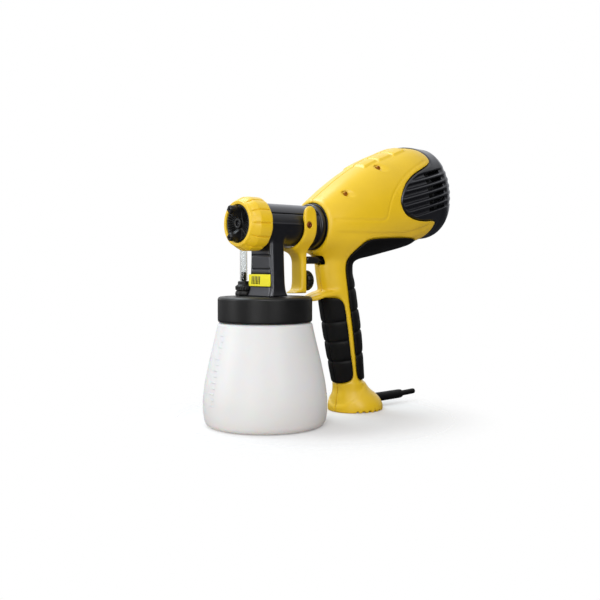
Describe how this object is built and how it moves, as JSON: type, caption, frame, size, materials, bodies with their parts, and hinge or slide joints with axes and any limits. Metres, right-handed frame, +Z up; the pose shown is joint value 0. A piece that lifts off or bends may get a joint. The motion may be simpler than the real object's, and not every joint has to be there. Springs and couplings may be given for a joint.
{
  "type": "turbine paint sprayer",
  "caption": "Hand-held electric turbine paint sprayer with a screw-on paint container, finger trigger, round union nut, horned air cap and a louvred motor housing.",
  "frame": {"origin": "centre of the paint container's base, on the floor", "axes": "+Z up, -X the way the paint is sprayed, +Y the tool's right side"},
  "size_m": [0.2971, 0.1124, 0.2653],
  "materials": {
    "yellow_plastic": "satin moulded, warm yellow",
    "label_plastic": "satin, bright yellow",
    "black_plastic": "satin moulded, blue-black",
    "matt_black_plastic": "fine spark-eroded texture",
    "soft_grip": "matt overmoulded rubber",
    "milky_plastic": "translucent blown container",
    "clear_plastic": "clear flexible tube",
    "steel": "zinc plated",
    "copper": "enamelled windings and commutator",
    "grey_plastic": "moulded grey"
  },
  "bodies": {
    "handle": {"left_housing": "yellow_plastic", "right_housing": "yellow_plastic", "front_grip_left": "soft_grip", "front_grip_right": "soft_grip", "back_grip_left": "soft_grip", "back_grip_right": "soft_grip", "housing_screw_front": "steel", "housing_screw_top": "steel", "handle_screw": "steel", "foot_screw": "steel", "socket_ring": "black_plastic", "air_duct": "grey_plastic", "switch_body": "matt_black_plastic", "capacitor": "grey_plastic", "cord_clamp": "grey_plastic", "strain_relief": "soft_grip", "power_cord": "soft_grip", "motor_can": "steel", "motor_end_cap": "matt_black_plastic", "motor_mount": "soft_grip", "field_core": "copper", "front_bearing": "steel", "rear_bearing": "steel", "brush_left": "matt_black_plastic", "brush_right": "matt_black_plastic", "fan_casing": "matt_black_plastic", "fan_inlet": "matt_black_plastic", "air_filter": "grey_plastic"},
    "rear_cover": {"rear_cover": "black_plastic"},
    "rotor": {"motor_shaft": "steel", "armature": "copper", "commutator": "copper", "impeller": "grey_plastic", "impeller_nut": "steel"},
    "switch_plunger": {"switch_plunger": "black_plastic"},
    "coupling": {"socket_seal": "soft_grip"},
    "spray_head": {"spray_body": "black_plastic", "barrel_cover": "black_plastic", "label_plate": "label_plastic", "nozzle_seal": "soft_grip", "nozzle": "steel", "needle_packing": "soft_grip", "needle_spring": "steel", "trigger_screw_left": "steel", "trigger_screw_right": "steel", "container_lid": "matt_black_plastic", "vent_valve_body": "matt_black_plastic", "vent_valve_cap": "matt_black_plastic", "vent_diaphragm": "clear_plastic", "vent_hose": "clear_plastic"},
    "air_cap": {"air_cap": "matt_black_plastic"},
    "union_nut": {"union_nut": "yellow_plastic"},
    "needle": {"needle": "steel", "needle_carrier": "matt_black_plastic"},
    "trigger": {"trigger": "yellow_plastic"},
    "regulator_knob": {"regulator_knob": "matt_black_plastic"},
    "container_seal": {"container_seal": "soft_grip"},
    "container": {"container": "milky_plastic"},
    "suction_tube": {"suction_tube": "clear_plastic"}
  },
  "joints": [
    {"name": "rear_cover_slide", "type": "slide", "parent": "handle", "child": "rear_cover", "axis": [0.9703, 0, 0.2419], "range_m": [0, 0.03]},
    {"name": "rotor_spin", "type": "hinge", "parent": "handle", "child": "rotor", "pos_m": [0.14, 0, 0.205], "axis": [0.9703, 0, 0.2419], "continuous": true},
    {"name": "switch_press", "type": "slide", "parent": "handle", "child": "switch_plunger", "axis": [1, 0, 0], "range_m": [0, 0.005]},
    {"name": "coupling_twist", "type": "hinge", "parent": "handle", "child": "coupling", "pos_m": [0.065, 0, 0.1795], "axis": [1, 0, 0], "range_deg": [0, 45]},
    {"name": "coupling_pull", "type": "slide", "parent": "coupling", "child": "spray_head", "axis": [-1, 0, 0], "range_m": [0, 0.04]},
    {"name": "air_cap_turn", "type": "hinge", "parent": "spray_head", "child": "air_cap", "pos_m": [-0.03, 0, 0.1795], "axis": [1, 0, 0], "range_deg": [-90, 90]},
    {"name": "union_nut_turn", "type": "hinge", "parent": "spray_head", "child": "union_nut", "pos_m": [-0.02, 0, 0.1795], "axis": [1, 0, 0], "range_deg": [0, 360]},
    {"name": "trigger_pull", "type": "hinge", "parent": "spray_head", "child": "trigger", "pos_m": [0.0332, 0, 0.1795], "axis": [0, -1, 0], "range_deg": [0, 10], "stiffness_Nm_per_rad": 0.4, "springref_deg": -11.46},
    {"name": "needle_draw", "type": "slide", "parent": "spray_head", "child": "needle", "axis": [1, 0, 0], "range_m": [0, 0.0013]},
    {"name": "regulator_turn", "type": "hinge", "parent": "trigger", "child": "regulator_knob", "pos_m": [0.048, 0, 0.129], "axis": [1, 0, 0], "range_deg": [0, 360]},
    {"name": "container_turn", "type": "hinge", "parent": "spray_head", "child": "container_seal", "pos_m": [0, 0, 0.1], "axis": [0, 0, 1], "range_deg": [0, 120]},
    {"name": "container_drop", "type": "slide", "parent": "container_seal", "child": "container", "axis": [0, 0, -1], "range_m": [0, 0.125]},
    {"name": "suction_tube_turn", "type": "hinge", "parent": "spray_head", "child": "suction_tube", "pos_m": [0.002, 0, 0.1], "axis": [0, 0, 1], "range_deg": [-180, 180]}
  ],
  "couplings": [
    {"joint": "needle_draw", "follows": "trigger_pull", "m_per_rad": 0.007},
    {"joint": "switch_press", "follows": "trigger_pull", "m_per_rad": 0.0286}
  ]
}
